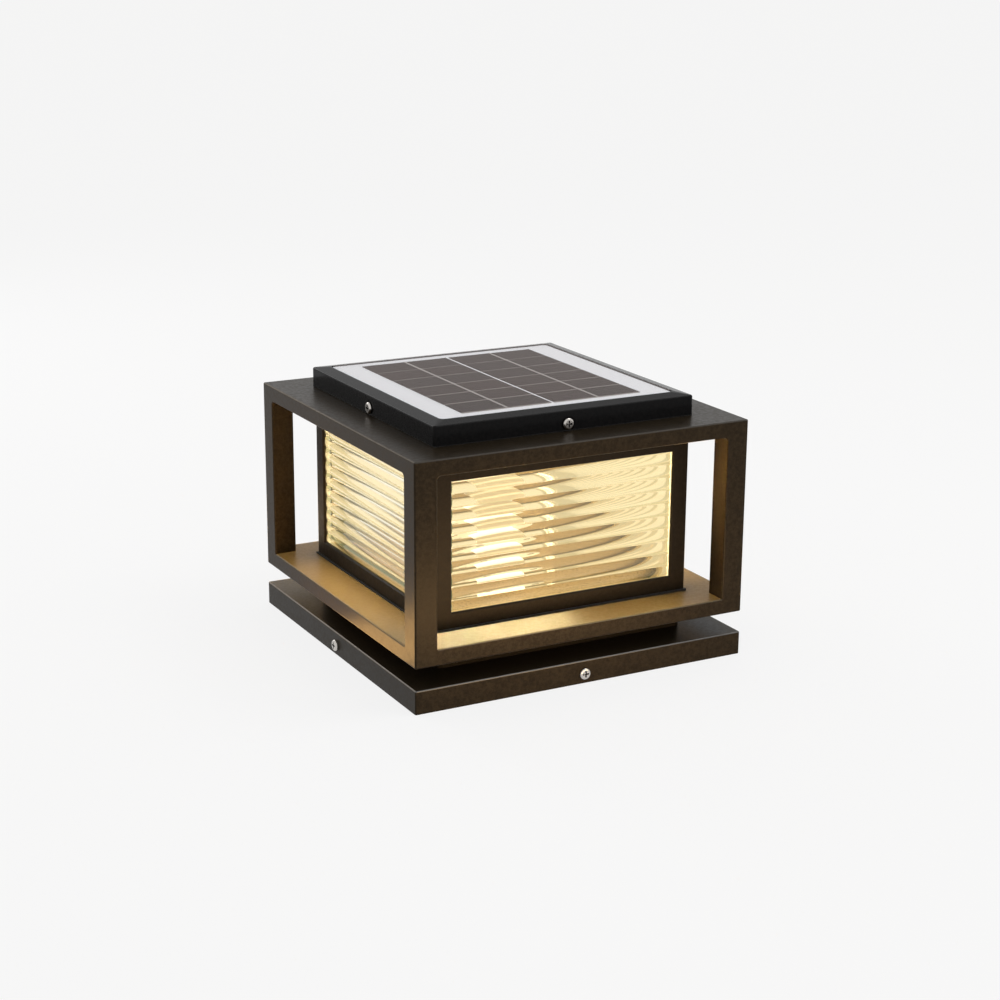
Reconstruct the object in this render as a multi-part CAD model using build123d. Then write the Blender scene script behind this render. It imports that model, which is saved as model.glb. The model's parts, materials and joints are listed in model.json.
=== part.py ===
from build123d import *
from math import ceil, cos, radians, sin
import os

# Solar pillar light, in millimetres. The origin is the middle of its underside, with +Z up
# and its front along -Y. Every piece is modelled where it sits in the finished lamp.

# Overall form
width = 250.0             # base and cage, across the flats
base_height = 16.2
neck_gap = 14.8           # open height between base and cage
cage_height = 136.5
lamp_setback = 28.5       # lamp frame behind the cage's outer faces
cap_setback = 27.0        # cap behind the cage's outer faces
cap_height = 14.0

# Clearances
slip_gap = 0.3            # beside pieces that drop into place
hole_gap = 0.25           # radial, round a bolt in a plain hole
thread_gap = 0.05         # radial, round a bolt in its thread
button_gap = 0.1          # radial, round the push button

# Folded sheet, rails and posts
sheet = 2.0
edge_radius = 1.2         # upright edges
rim_radius = 1.0          # outer top and bottom edges
rail_height = 11.0
post_width = 16.0
post_wall = 1.6
stub_height = 4.0         # roof corners that stand down onto the posts
stub_fillet = 3.0

# Base bracket
bracket_plate = 2.5
bracket_width = 152.0
bracket_corner = 8.0
bracket_arm = 34.0
bracket_ear = 24.0
ear_margin = 4.0          # ear above its screw
anchor_spacing = 110.0
anchor_width = 7.0
anchor_length = 22.0

# Side screws, the same in base and cap
side_screw_radius = 2.0
side_screw_head = 4.0
side_screw_head_height = 2.4
side_screw_dome = 1.3
side_screw_length = 9.0
recess_length = 4.6
recess_width = 1.1
recess_depth = 1.3
base_screw_height = 7.0   # above the underside
cap_screw_height = 5.0    # above the roof
cap_screw_sink = 0.6
cap_screw_ring = 1.2      # dark ring round the sunk head

# Neck and the bolts through it
neck_inset = 1.5          # behind the lamp frame on each side
neck_wall = 3.0
neck_corner = 4.0
neck_boss = 5.5
neck_boss_inset = 8.0
bolt_radius = 2.0
bolt_head = 3.5
bolt_head_height = 4.0
nut_flats = 7.0
nut_height = 3.2
bolt_tail = 1.0           # bolt past its nut

# Tie bolts through the posts
tie_thread = 9.0
tie_sink = 0.5            # head below the rail's underside

# Lamp frame, panes and their seals
lamp_wall = 1.8
stile_width = 12.0
window_sill = 12.0        # above the cage floor
window_head = 13.5        # below the top rail
window_bevel = 0.8
foot_gasket_height = 1.5
foot_gasket_ledge = 1.0
head_gasket_height = 1.5
ledge_width = 7.5
ledge_thickness = 2.0
seal_thickness = 1.0
pane_thickness = 3.5
pane_overlap = 5.0        # pane behind the frame, above and below its window
rib_pitch = 9.1
rib_height = 1.4
rib_border = 0.6          # flat rim that shows round the ribs
retainer_leg = 4.5
retainer_wall = 1.5
ceiling_thickness = 2.0
reflector_thickness = 0.6  # bright sheet on the lamp's floor

# Small screws
small_screw_radius = 1.25
small_screw_head = 2.0
small_screw_head_height = 1.6
small_screw_length = 6.0
plate_screw_radius = 1.5
plate_screw_head = 2.75
plate_screw_head_height = 2.0
plate_screw_tail = 1.0

# Light engine
tube_radius = 17.0
tube_wall = 2.0
led_flange_radius = 32.0
led_flange = 3.0
led_spigot = 5.0
led_screw_circle = 26.5
led_screw_count = 4
led_post_width = 18.0
led_post_top_gap = 10.0
board_width = 14.0
board_thickness = 1.6
board_margin = 4.0
chip_width = 2.8
chip_height = 3.5
chip_thickness = 0.8
chip_count = 7
loom_radius = 2.5
loom_bend = 14.0
loom_gap = 1.0

# Battery bay
roof_rim = 23.0           # roof round its opening, under the cap
controller_length = 70.0
controller_width = 50.0
controller_offset = 13.0
standoff_radius = 3.0
standoff_height = 6.0
standoff_inset = 5.0
choke_radius = 7.0
choke_height = 9.0
chip_block = 12.0
chip_block_height = 2.5
lead_radius = 1.5
lead_offset = 20.0
cell_radius = 9.0
cell_length = 65.0
cell_count = 2
cell_gap = 1.0
tray_wall = 2.0
tray_height = 12.0
tray_gap = 10.0           # between controller and tray

# Solar cap and panel
cap_wall = 2.5
cap_corner = 2.2
cap_round = 1.2
cap_floor = 2.0
cap_gasket_height = 0.8
cap_gasket_inset = 0.5
bracket_sheet = 1.5
bracket_ring = 15.0       # bracket rim round the roof opening
cap_ear = 20.0
cap_ear_margin = 3.0
panel_border = 10.5       # cap that shows round the panel
panel_corner = 3.0
panel_gap = 0.8
panel_lip = 0.8           # level land round the panel's pocket
panel_proud = 0.5         # panel above that land
cap_slope = 1.5           # land above the cap's rim
pad_thickness = 0.6
pad_width = 8.0
backing_thickness = 1.6
cover_thickness = 1.2
cell_margin_x = 19.75
cell_margin_y = 9.5
cell_columns = 2
cell_rows = 6
column_gap = 2.4
row_gap = 1.0
wafer_thickness = 0.4
ribbon_width = 1.6
ribbon_thickness = 0.2
laminate_gap = 0.1        # under the clear cover, over the board and the cells

# Power switch in the back of the neck
switch_radius = 5.0
switch_length = 20.0
switch_bezel = 6.75
switch_bezel_height = 2.0
switch_washer_height = 1.0
switch_nut_flats = 12.0
switch_nut_height = 3.0
button_radius = 3.5
button_proud = 3.0
button_travel = 2.0
button_depth = 4.0        # inside the switch at rest
button_round = 0.8

# Heights worked out from the sizes above
half = width / 2
base_under = base_height - sheet
cage_bottom = base_height + neck_gap
floor_top = cage_bottom + rail_height
floor_under = floor_top - sheet
reflector_top = floor_top + reflector_thickness
roof_top = cage_bottom + cage_height
roof_under = roof_top - sheet
rail_under = roof_top - rail_height
post_top = rail_under - stub_height
window_bottom = floor_top + window_sill
window_top = rail_under - window_head
pane_bottom = window_bottom - pane_overlap
pane_top = window_top + pane_overlap
ceiling_top = pane_top + ceiling_thickness
board_under = ceiling_top + standoff_height
board_top = board_under + board_thickness
cap_bottom = roof_top + cap_gasket_height
cap_top = roof_top + cap_height
land_top = cap_top + cap_slope
panel_top = land_top + panel_proud
backing_top = panel_top - cover_thickness
backing_under = backing_top - backing_thickness
pocket_floor = backing_under - pad_thickness
cap_under = pocket_floor - cap_floor
base_screw_z = base_screw_height
cap_screw_z = roof_top + cap_screw_height
switch_z = base_height + neck_gap / 2

# Distances from the middle, worked out from the sizes above
post_centre = half - post_width / 2
opening = width - 2 * post_width
lamp_width = width - 2 * lamp_setback
lamp_half = lamp_width / 2
lamp_inside = lamp_half - lamp_wall
window_half = lamp_half - stile_width
pane_front_plane = lamp_inside - seal_thickness
pane_back_plane = pane_front_plane - pane_thickness
pane_half = pane_back_plane - slip_gap
neck_half = lamp_half - neck_inset
neck_bolt_place = neck_half - neck_boss_inset
column_centre = (pane_back_plane + lamp_inside) / 2
flange_top = reflector_top + led_flange
led_post_bottom = flange_top + led_spigot
led_post_top = pane_top - led_post_top_gap
loom_hole = loom_radius + loom_gap
cap_width = width - 2 * cap_setback
cap_half = cap_width / 2
roof_opening = cap_width - 2 * roof_rim
panel_width = cap_width - 2 * panel_border
cap_ear_face = cap_half - cap_wall - slip_gap
bracket_half = roof_opening / 2 + bracket_ring
bracket_screw_place = roof_opening / 2 + bracket_ring / 2
base_ear_face = half - sheet - slip_gap
field_x = panel_width - 2 * cell_margin_x
field_y = panel_width - 2 * cell_margin_y
wafer_x = (field_x - (cell_columns - 1) * column_gap) / cell_columns
wafer_y = (field_y - (cell_rows - 1) * row_gap) / cell_rows
controller_front = -controller_offset - controller_width / 2
controller_back = -controller_offset + controller_width / 2
switch_face = neck_half + switch_washer_height
switch_rear = switch_face - switch_length
button_face = switch_face + switch_bezel_height

UP = (Align.CENTER, Align.CENTER, Align.MIN)
tiny = 0.001


# Shared shapes

def slab(outline, bottom, top):
    """Straight prism of a flat outline between two heights."""
    return Pos(0, 0, bottom) * extrude(outline, top - bottom)


def square(side, bottom, top, corner=0):
    """Square prism about the middle, with rounded upright edges if a corner is given."""
    outline = RectangleRounded(side, side, corner) if corner else Rectangle(side, side)
    return slab(outline, bottom, top)


def block(low, high):
    """Box between two opposite corners."""
    size = [b - a for a, b in zip(low, high)]
    middle = [(a + b) / 2 for a, b in zip(low, high)]
    return Pos(*middle) * Box(*size)


def rod(x, y, radius, bottom, top):
    """Upright cylinder between two heights."""
    return Pos(x, y, bottom) * Cylinder(radius, top - bottom, align=UP)


def corners(distance):
    """The four places at plus and minus one distance."""
    return [(sx * distance, sy * distance) for sx in (-1, 1) for sy in (-1, 1)]


def corner_rods(distance, radius, bottom, top):
    """Four upright cylinders, one near each corner."""
    return [rod(x, y, radius, bottom, top) for x, y in corners(distance)]


def each_side(shape):
    """One shape repeated on the front, right, back and left sides."""
    return [Rot(0, 0, 90 * turn) * shape for turn in range(4)]


def outward(x, y, z, shape):
    """Turns an upright shape at the front so that its top points out of the lamp."""
    return Pos(x, y, z) * Rot(90, 0, 0) * shape


def side_bores(radius, inner, outer, z):
    """Four level cylinders through the middles of the sides."""
    bore = outward(0, -inner, z, Cylinder(radius, outer - inner, align=UP))
    return each_side(bore)


def hollow_corner(radius, length):
    """Concave quarter-round strip along X, with its square corner on the X axis."""
    outline = Rectangle(radius, radius, align=(Align.MIN, Align.MIN))
    outline -= Pos(radius, radius) * Circle(radius)
    return extrude(Plane.YZ * outline, length / 2, both=True)


def screw(radius, length, head, head_height, dome=0):
    """Upright screw with its seat at height 0 and a domed head if a radius is given."""
    cap = Cylinder(head, head_height, align=UP)
    if dome:
        cap = fillet(cap.edges().sort_by(Axis.Z)[-1], dome)
    return cap + rod(0, 0, radius, -length, 0)


def side_screw():
    """Domed screw with a cross recess."""
    body = screw(side_screw_radius, side_screw_length, side_screw_head,
                 side_screw_head_height, side_screw_dome)
    depth = side_screw_head_height - recess_depth
    for size in ((recess_length, recess_width), (recess_width, recess_length)):
        body -= slab(Rectangle(*size), depth, side_screw_head_height)
    return body


def hex_nut(flats, height, bore):
    """Upright hexagonal nut standing on height 0."""
    return slab(RegularPolygon(flats / 2, 6, major_radius=False) - Circle(bore), 0, height)


# Base

def mounting_bracket():
    """Plate that is anchored to the pillar, with an ear behind each base screw."""
    reach = base_ear_face - bracket_plate
    plate = square(bracket_width, 0, bracket_plate, bracket_corner)
    for size in ((bracket_arm, 2 * base_ear_face), (2 * base_ear_face, bracket_arm)):
        plate += slab(Rectangle(*size), 0, bracket_plate)
    ear = block((-bracket_ear / 2, -base_ear_face, 0),
                (bracket_ear / 2, -reach, base_screw_z + ear_margin))
    plate += each_side(ear)
    slot = slab(SlotOverall(anchor_length, anchor_width), 0, bracket_plate)
    plate -= [Pos(x, y, 0) * slot for x, y in corners(anchor_spacing / 2)]
    plate -= side_bores(side_screw_radius + thread_gap, reach, base_ear_face, base_screw_z)
    return plate


def base_cover():
    """Inverted square pan over the bracket."""
    pan = square(width, 0, base_height, edge_radius)
    pan = fillet(pan.faces().sort_by(Axis.Z)[-1].edges(), rim_radius)
    pan -= square(width - 2 * sheet, 0, base_under)
    pan -= side_bores(side_screw_radius + hole_gap, half - sheet, half, base_screw_z)
    pan -= corner_rods(neck_bolt_place, bolt_radius + hole_gap, base_under, base_height)
    return pan


def base_screws():
    """One screw through each side of the base cover."""
    return each_side(outward(0, -half, base_screw_z, side_screw()))


# Neck

def neck():
    """Square ring with a bolt boss in each corner and the switch hole in its back."""
    inside = 2 * (neck_half - neck_wall)
    ring = square(2 * neck_half, base_height, floor_under, neck_corner)
    ring -= square(inside, base_height, floor_under, neck_corner - neck_wall)
    ring += corner_rods(neck_bolt_place, neck_boss, base_height, floor_under)
    ring -= corner_rods(neck_bolt_place, bolt_radius + hole_gap, base_height, floor_under)
    hole = Cylinder(switch_radius + hole_gap, neck_wall, align=UP)
    return ring - Rot(0, 0, 180) * outward(0, -neck_half + neck_wall, switch_z, hole)


def neck_bolts():
    """Bolts from under the base cover, through the neck, into the lamp."""
    length = reflector_top + nut_height + bolt_tail - base_under
    bolt = Rot(180, 0, 0) * screw(bolt_radius, length, bolt_head, bolt_head_height)
    return [Pos(x, y, base_under) * bolt for x, y in corners(neck_bolt_place)]


def neck_nuts():
    """Nuts of the neck bolts, inside the lamp."""
    nut = hex_nut(nut_flats, nut_height, bolt_radius + thread_gap)
    return [Pos(x, y, reflector_top) * nut for x, y in corners(neck_bolt_place)]


# Cage

def post_outline():
    """Section of the front left post, with its outermost corner rounded."""
    outline = Pos(-post_centre, -post_centre) * Rectangle(post_width, post_width)
    return outline & RectangleRounded(width, width, edge_radius)


def outer_edges(shape, low, high):
    """Edges on the outer faces that border the cage's openings, between two heights."""
    found = []
    for edge in shape.edges():
        middle = edge.center()
        across, along = sorted((abs(middle.X), abs(middle.Y)), reverse=True)
        on_face = abs(across - half) < tiny and along < opening / 2 + tiny
        if on_face and low + tiny < middle.Z < high + tiny:
            found.append(edge)
    return found


def cage_base():
    """Cage floor: folded tray with a return lip below and a solid block in each corner."""
    lip_top = cage_bottom + sheet
    tray = square(width, cage_bottom, floor_top, edge_radius)
    tray = fillet(tray.faces().sort_by(Axis.Z)[0].edges(), rim_radius)
    tray -= square(opening, cage_bottom, lip_top)
    tray -= square(width - 2 * sheet, lip_top, floor_under)
    fill = post_width - sheet
    filler = slab(Rectangle(fill, fill), lip_top, floor_under)
    tray += [Pos(x, y, 0) * filler for x, y in corners(half - sheet - fill / 2)]
    edge = Pos(0, -half, floor_top) * Rot(-90, 0, 0) * hollow_corner(rim_radius, opening)
    tray -= each_side(edge)
    seat = cage_bottom + tie_sink + bolt_head_height
    tray -= corner_rods(post_centre, bolt_radius + hole_gap, seat, floor_top)
    tray -= corner_rods(post_centre, bolt_head + hole_gap, cage_bottom, seat)
    tray -= corner_rods(neck_bolt_place, bolt_radius + hole_gap, floor_under, floor_top)
    tray -= led_screw_rods(plate_screw_radius + thread_gap, floor_under, floor_top)
    return tray - rod(0, 0, loom_hole, floor_under, floor_top)


def corner_post():
    """Hollow square post at the front left."""
    bore = post_width - 2 * post_wall
    tube = post_outline() - Pos(-post_centre, -post_centre) * Rectangle(bore, bore)
    post = slab(tube, floor_top, post_top)
    return fillet(outer_edges(post, floor_top, post_top), rim_radius)


def top_frame():
    """Cage roof: folded tray with a return lip, and stubs that meet the posts."""
    lip_top = rail_under + sheet
    roof = square(width, rail_under, roof_top, edge_radius)
    roof = fillet(roof.faces().sort_by(Axis.Z)[-1].edges(), rim_radius)
    roof -= square(opening, rail_under, lip_top)
    roof -= square(width - 2 * sheet, lip_top, roof_under)
    roof -= square(roof_opening, roof_under, roof_top)
    roof += each_side(slab(post_outline(), post_top, roof_under))
    web = Rot(0, 0, -90) * Rot(-90, 0, 0) * hollow_corner(stub_fillet, post_width)
    left = Pos(-opening / 2, -post_centre, rail_under) * web
    roof += each_side(left) + each_side(mirror(left, Plane.YZ))
    roof = fillet(outer_edges(roof, post_top, rail_under), rim_radius)
    thread = bolt_radius + thread_gap
    roof -= corner_rods(post_centre, thread, post_top, post_top + tie_thread + bolt_tail)
    rim = plate_screw_radius + thread_gap
    return roof - corner_rods(bracket_screw_place, rim, roof_under, roof_top)


def tie_bolts():
    """Long bolts from under the cage floor, up the posts, into the roof."""
    seat = cage_bottom + tie_sink + bolt_head_height
    length = post_top + tie_thread - seat
    bolt = Rot(180, 0, 0) * screw(bolt_radius, length, bolt_head, bolt_head_height)
    return [Pos(x, y, seat) * bolt for x, y in corners(post_centre)]


# Lamp

def lamp_housing():
    """Square frame with a bevelled window on each side and a ledge for the panes."""
    bottom = floor_top + foot_gasket_height
    top = roof_under - head_gasket_height
    frame = square(lamp_width, bottom, top, edge_radius)
    frame -= square(2 * lamp_inside, bottom, top)
    window = block((-window_half, -lamp_half, window_bottom), (window_half, 0, window_top))
    frame -= each_side(window)
    sides = [frame.faces().sort_by(axis)[end] for axis in (Axis.X, Axis.Y) for end in (0, -1)]
    frame = chamfer([edge for side in sides for edge in side.inner_wires().edges()], window_bevel)
    ledge = square(2 * lamp_inside, pane_bottom - ledge_thickness, pane_bottom)
    ledge -= square(2 * (lamp_inside - ledge_width), pane_bottom - ledge_thickness, pane_bottom)
    frame += ledge
    side = lamp_inside - pane_back_plane
    column = slab(Rectangle(side, side), pane_bottom, pane_top)
    frame += [Pos(x, y, 0) * column for x, y in corners(column_centre)]
    bore = small_screw_radius + thread_gap
    depth = pane_top - small_screw_length - bolt_tail
    return frame - corner_rods(column_centre, bore, depth, pane_top)


def gasket_ring(outer, inner, bottom, height):
    """Flat square gasket."""
    return square(outer, bottom, bottom + height) - square(inner, bottom, bottom + height)


def foot_gasket():
    """Gasket under the lamp frame, standing out as a thin ledge."""
    outer = lamp_width + 2 * foot_gasket_ledge
    return gasket_ring(outer, 2 * lamp_inside, floor_top, foot_gasket_height)


def head_gasket():
    """Gasket between lamp frame and roof."""
    bottom = roof_under - head_gasket_height
    return gasket_ring(lamp_width, 2 * lamp_inside, bottom, head_gasket_height)


def pane():
    """Front pane: a flat rim and a field of round level ribs on the outer face."""
    plate = block((-pane_half, -pane_front_plane, pane_bottom),
                  (pane_half, -pane_back_plane, pane_top))
    field_bottom = window_bottom + rib_border
    field_top = window_top - rib_border
    radius = (rib_pitch ** 2 / 4 + rib_height ** 2) / (2 * rib_height)
    crest = -pane_front_plane - rib_height
    ribs = Sketch()
    for row in range(ceil((window_top - field_bottom) / rib_pitch)):
        ribs += Pos(crest + radius, window_top - (row + 0.5) * rib_pitch) * Circle(radius)
    field_middle = (field_bottom + field_top) / 2
    field = Pos(crest + rib_height / 2, field_middle) * Rectangle(rib_height, field_top - field_bottom)
    return plate + extrude(Plane.YZ * (ribs & field), window_half - rib_border, both=True)


def pane_seal():
    """Front gasket frame between the lamp frame and its pane."""
    seal = block((-pane_half, -lamp_inside, pane_bottom), (pane_half, -pane_front_plane, pane_top))
    gap = slip_gap
    return seal - block((-window_half - gap, -lamp_inside, window_bottom - gap),
                        (window_half + gap, -pane_front_plane, window_top + gap))


def pane_retainer():
    """Front left corner angle that holds the edges of two panes."""
    angle = Rectangle(retainer_leg, retainer_leg, align=(Align.MIN, Align.MIN))
    inner = retainer_leg - retainer_wall
    angle -= Pos(retainer_wall, retainer_wall) * Rectangle(inner, inner, align=(Align.MIN, Align.MIN))
    return Pos(-pane_back_plane, -pane_back_plane, 0) * slab(angle, pane_bottom, pane_top)


def ceiling_plate():
    """Reflector over the light and floor of the battery bay."""
    plate = square(2 * (lamp_inside - slip_gap), pane_top, ceiling_top)
    plate -= corner_rods(column_centre, small_screw_radius + hole_gap, pane_top, ceiling_top)
    return plate - rod(0, 0, loom_hole, pane_top, ceiling_top)


def small_screw():
    """Small pan-head screw."""
    return screw(small_screw_radius, small_screw_length + ceiling_thickness, small_screw_head,
                 small_screw_head_height)


def ceiling_screws():
    """Screws from the ceiling plate into the frame's corner columns."""
    return [Pos(x, y, ceiling_top) * small_screw() for x, y in corners(column_centre)]


# Light engine

def led_screw_rods(radius, bottom, top):
    """Upright cylinders on the light engine's screw circle."""
    turns = [radians(360 * (step + 0.5) / led_screw_count) for step in range(led_screw_count)]
    return [rod(led_screw_circle * cos(turn), led_screw_circle * sin(turn), radius, bottom, top)
            for turn in turns]


def floor_reflector():
    """Bright sheet under the light engine, held down by it and by the neck's nuts."""
    plate = square(2 * (lamp_inside - slip_gap), floor_top, reflector_top)
    plate -= corner_rods(neck_bolt_place, bolt_radius + hole_gap, floor_top, reflector_top)
    plate -= led_screw_rods(plate_screw_radius + hole_gap, floor_top, reflector_top)
    return plate - rod(0, 0, loom_hole, floor_top, reflector_top)


def led_base():
    """Flange with a spigot that centres the diffuser."""
    base = rod(0, 0, led_flange_radius, reflector_top, flange_top)
    base += rod(0, 0, tube_radius - tube_wall - slip_gap, flange_top, led_post_bottom)
    base -= led_screw_rods(plate_screw_radius + hole_gap, reflector_top, flange_top)
    return base - rod(0, 0, loom_hole, reflector_top, led_post_bottom)


def led_base_screws():
    """Screws that hold the light engine to the cage floor."""
    heads = led_screw_rods(plate_screw_head, flange_top, flange_top + plate_screw_head_height)
    shanks = led_screw_rods(plate_screw_radius, floor_under - plate_screw_tail, flange_top)
    return [head + shank for head, shank in zip(heads, shanks)]


def led_post():
    """Square heat-sink post with the loom's bore."""
    post = square(led_post_width, led_post_bottom, led_post_top)
    return post - rod(0, 0, loom_hole, led_post_bottom, led_post_top)


def led_boards():
    """One LED board on each side of the post."""
    inner = led_post_width / 2
    board = block((-board_width / 2, -inner - board_thickness, led_post_bottom + board_margin),
                  (board_width / 2, -inner, led_post_top - board_margin))
    return each_side(board)


def led_chips():
    """A row of LEDs on each board."""
    face = led_post_width / 2 + board_thickness
    run = led_post_top - led_post_bottom - 2 * board_margin
    chip = block((-chip_width / 2, -face - chip_thickness, -chip_height / 2),
                 (chip_width / 2, -face, chip_height / 2))
    start = led_post_bottom + board_margin
    row = [Pos(0, 0, start + run * (step + 0.5) / chip_count) * chip for step in range(chip_count)]
    return [turned for place in row for turned in each_side(place)]


def diffuser_tube():
    """Opal tube round the light engine."""
    return slab(Circle(tube_radius) - Circle(tube_radius - tube_wall), flange_top, pane_top)


def wiring_loom():
    """Leads from the switch, up through the light engine, to the controller."""
    path = FilletPolyline((0, switch_rear, switch_z), (0, 0, switch_z), (0, 0, board_under),
                          radius=loom_bend)
    return sweep(Plane(path @ 0, z_dir=path % 0) * Circle(loom_radius), path)


# Battery bay

def controller_places():
    """Middles of the controller's four standoffs."""
    dx = controller_length / 2 - standoff_inset
    dy = controller_width / 2 - standoff_inset
    return [(sx * dx, sy * dy - controller_offset) for sx in (-1, 1) for sy in (-1, 1)]


def controller_board():
    """Charge controller with its choke and chip."""
    board = block((-controller_length / 2, controller_front, board_under),
                  (controller_length / 2, controller_back, board_top))
    for x, y in controller_places():
        board -= rod(x, y, small_screw_radius + hole_gap, board_under, board_top)
    board += rod(-lead_offset, controller_front + 2 * choke_radius, choke_radius, board_top,
                 board_top + choke_height)
    block_outline = Pos(0, -controller_offset) * Rectangle(chip_block, chip_block)
    return board + slab(block_outline, board_top, board_top + chip_block_height)


def board_standoffs():
    """Round standoffs under the controller."""
    bore = small_screw_radius + thread_gap
    return [rod(x, y, standoff_radius, ceiling_top, board_under) - rod(x, y, bore, ceiling_top, board_under)
            for x, y in controller_places()]


def board_screws():
    """Screws through the controller into its standoffs."""
    length = board_thickness + standoff_height / 2
    body = screw(small_screw_radius, length, small_screw_head, small_screw_head_height)
    return [Pos(x, y, board_top) * body for x, y in controller_places()]


def panel_lead():
    """Lead from the solar panel straight down to the controller."""
    return rod(lead_offset, -lead_offset, lead_radius, board_top, backing_under)


def tray_size():
    """Inside length and width of the battery tray."""
    inside_y = cell_count * (2 * cell_radius + cell_gap) + cell_gap
    return cell_length + 2 * cell_gap, inside_y


def battery_holder():
    """Open tray for the cells."""
    inside_x, inside_y = tray_size()
    front = controller_back + tray_gap
    tray = block((-inside_x / 2 - tray_wall, front, ceiling_top),
                 (inside_x / 2 + tray_wall, front + inside_y + 2 * tray_wall, ceiling_top + tray_height))
    return tray - block((-inside_x / 2, front + tray_wall, ceiling_top + tray_wall),
                        (inside_x / 2, front + tray_wall + inside_y, ceiling_top + tray_height))


def battery_cells():
    """Rechargeable cells side by side in the tray."""
    first = controller_back + tray_gap + tray_wall + cell_gap + cell_radius
    z = ceiling_top + tray_wall + cell_radius + thread_gap
    cell = Rot(0, 90, 0) * Cylinder(cell_radius, cell_length)
    pitch = 2 * cell_radius + cell_gap
    return [Pos(0, first + step * pitch, z) * cell for step in range(cell_count)]


# Solar cap

def cap_bracket():
    """Rim round the roof opening, with an ear behind each cap screw."""
    rim_top = roof_top + bracket_sheet
    rim = square(2 * bracket_half, roof_top, rim_top) - square(roof_opening, roof_top, rim_top)
    tab = block((-cap_ear / 2, -cap_ear_face, roof_top), (cap_ear / 2, -bracket_half, rim_top))
    ear = block((-cap_ear / 2, -cap_ear_face, roof_top),
                (cap_ear / 2, -cap_ear_face + bracket_sheet, cap_screw_z + cap_ear_margin))
    rim += each_side(tab) + each_side(ear)
    bore = side_screw_radius + thread_gap
    rim -= side_bores(bore, cap_ear_face - bracket_sheet, cap_ear_face, cap_screw_z)
    return rim - corner_rods(bracket_screw_place, plate_screw_radius + hole_gap, roof_top, rim_top)


def bracket_screws():
    """Screws that hold the cap bracket to the roof."""
    length = bracket_sheet + sheet + plate_screw_tail
    body = screw(plate_screw_radius, length, plate_screw_head, plate_screw_head_height)
    seat = roof_top + bracket_sheet
    return [Pos(x, y, seat) * body for x, y in corners(bracket_screw_place)]


def cap_gasket():
    """Thin gasket under the cap's walls."""
    outer = cap_width - 2 * cap_gasket_inset
    return gasket_ring(outer, cap_width - 2 * cap_wall, roof_top, cap_gasket_height)


def solar_cap():
    """Square cap whose top slopes up to the panel's pocket, with a sunk screw in each side."""
    cap = square(cap_width, cap_bottom, cap_top, cap_corner)
    cap = fillet(cap.faces().sort_by(Axis.Z)[-1].edges(), cap_round)
    pocket = panel_width + 2 * panel_gap
    pocket_corner = panel_corner + panel_gap
    foot = cap_width - 2 * cap_round
    land = pocket + 2 * panel_lip
    cap += loft([Pos(0, 0, cap_top) * RectangleRounded(foot, foot, cap_corner - cap_round),
                 Pos(0, 0, land_top) * RectangleRounded(land, land, pocket_corner + panel_lip)])
    cap -= square(cap_width - 2 * cap_wall, cap_bottom, cap_under)
    cap -= square(pocket, pocket_floor, land_top, pocket_corner)
    cap -= rod(lead_offset, -lead_offset, lead_radius + hole_gap, cap_under, pocket_floor)
    seat = cap_half - cap_screw_sink
    cap -= side_bores(side_screw_head + cap_screw_ring, seat, cap_half, cap_screw_z)
    return cap - side_bores(side_screw_radius + hole_gap, cap_half - cap_wall, seat, cap_screw_z)


def cap_screws():
    """One screw through each side of the cap."""
    return each_side(outward(0, -cap_half + cap_screw_sink, cap_screw_z, side_screw()))


def panel_pad():
    """Adhesive frame under the panel."""
    outer = square(panel_width, pocket_floor, backing_under, panel_corner)
    return outer - square(panel_width - 2 * pad_width, pocket_floor, backing_under)


def panel_backing():
    """White board that carries the cells."""
    return square(panel_width, backing_under, backing_top, panel_corner)


def column_places():
    """Middles of the cell columns."""
    pitch = wafer_x + column_gap
    return [(step - (cell_columns - 1) / 2) * pitch for step in range(cell_columns)]


def solar_cells():
    """Rows of dark cells."""
    pitch = wafer_y + row_gap
    wafer = slab(Rectangle(wafer_x, wafer_y), backing_top, backing_top + wafer_thickness)
    rows = [(step - (cell_rows - 1) / 2) * pitch for step in range(cell_rows)]
    return [Pos(x, y, 0) * wafer for x in column_places() for y in rows]


def cell_ribbons():
    """Silver ribbon down the middle of each column."""
    bottom = backing_top + wafer_thickness
    ribbon = slab(Rectangle(ribbon_width, field_y), bottom, bottom + ribbon_thickness)
    return [Pos(x, 0, 0) * ribbon for x in column_places()]


def panel_cover():
    """Clear front of the panel, hollowed over the cells."""
    bottom = backing_top + laminate_gap
    cover = square(panel_width, bottom, panel_top, panel_corner)
    room = Rectangle(field_x + 2 * panel_gap, field_y + 2 * panel_gap)
    return cover - slab(room, bottom, bottom + wafer_thickness + ribbon_thickness)


# Power switch

def at_switch(y, shape):
    """Turns an upright shape to face out of the back of the neck, with its foot at y."""
    return Pos(0, y, switch_z) * Rot(-90, 0, 0) * shape


def switch_body():
    """Threaded switch with a round bezel and a well for its button."""
    body = rod(0, 0, switch_radius, -switch_length, 0)
    body += rod(0, 0, switch_bezel, 0, switch_bezel_height)
    well = -button_depth - button_travel - slip_gap + switch_bezel_height
    body -= rod(0, 0, button_radius + button_gap, well, switch_bezel_height)
    return at_switch(switch_face, body)


def switch_washer():
    """Seal between bezel and neck."""
    ring = slab(Circle(switch_bezel) - Circle(switch_radius + hole_gap), 0, switch_washer_height)
    return at_switch(neck_half, ring)


def switch_nut():
    """Nut that holds the switch from inside the neck."""
    nut = hex_nut(switch_nut_flats, switch_nut_height, switch_radius + thread_gap)
    return at_switch(neck_half - neck_wall - switch_nut_height, nut)


def power_button():
    """Round push button, standing proud of its bezel."""
    button = rod(0, 0, button_radius, -button_depth, button_proud)
    button = fillet(button.edges().sort_by(Axis.Z)[-1], button_round)
    return at_switch(button_face, button)


# Names of the sub-parts

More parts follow.
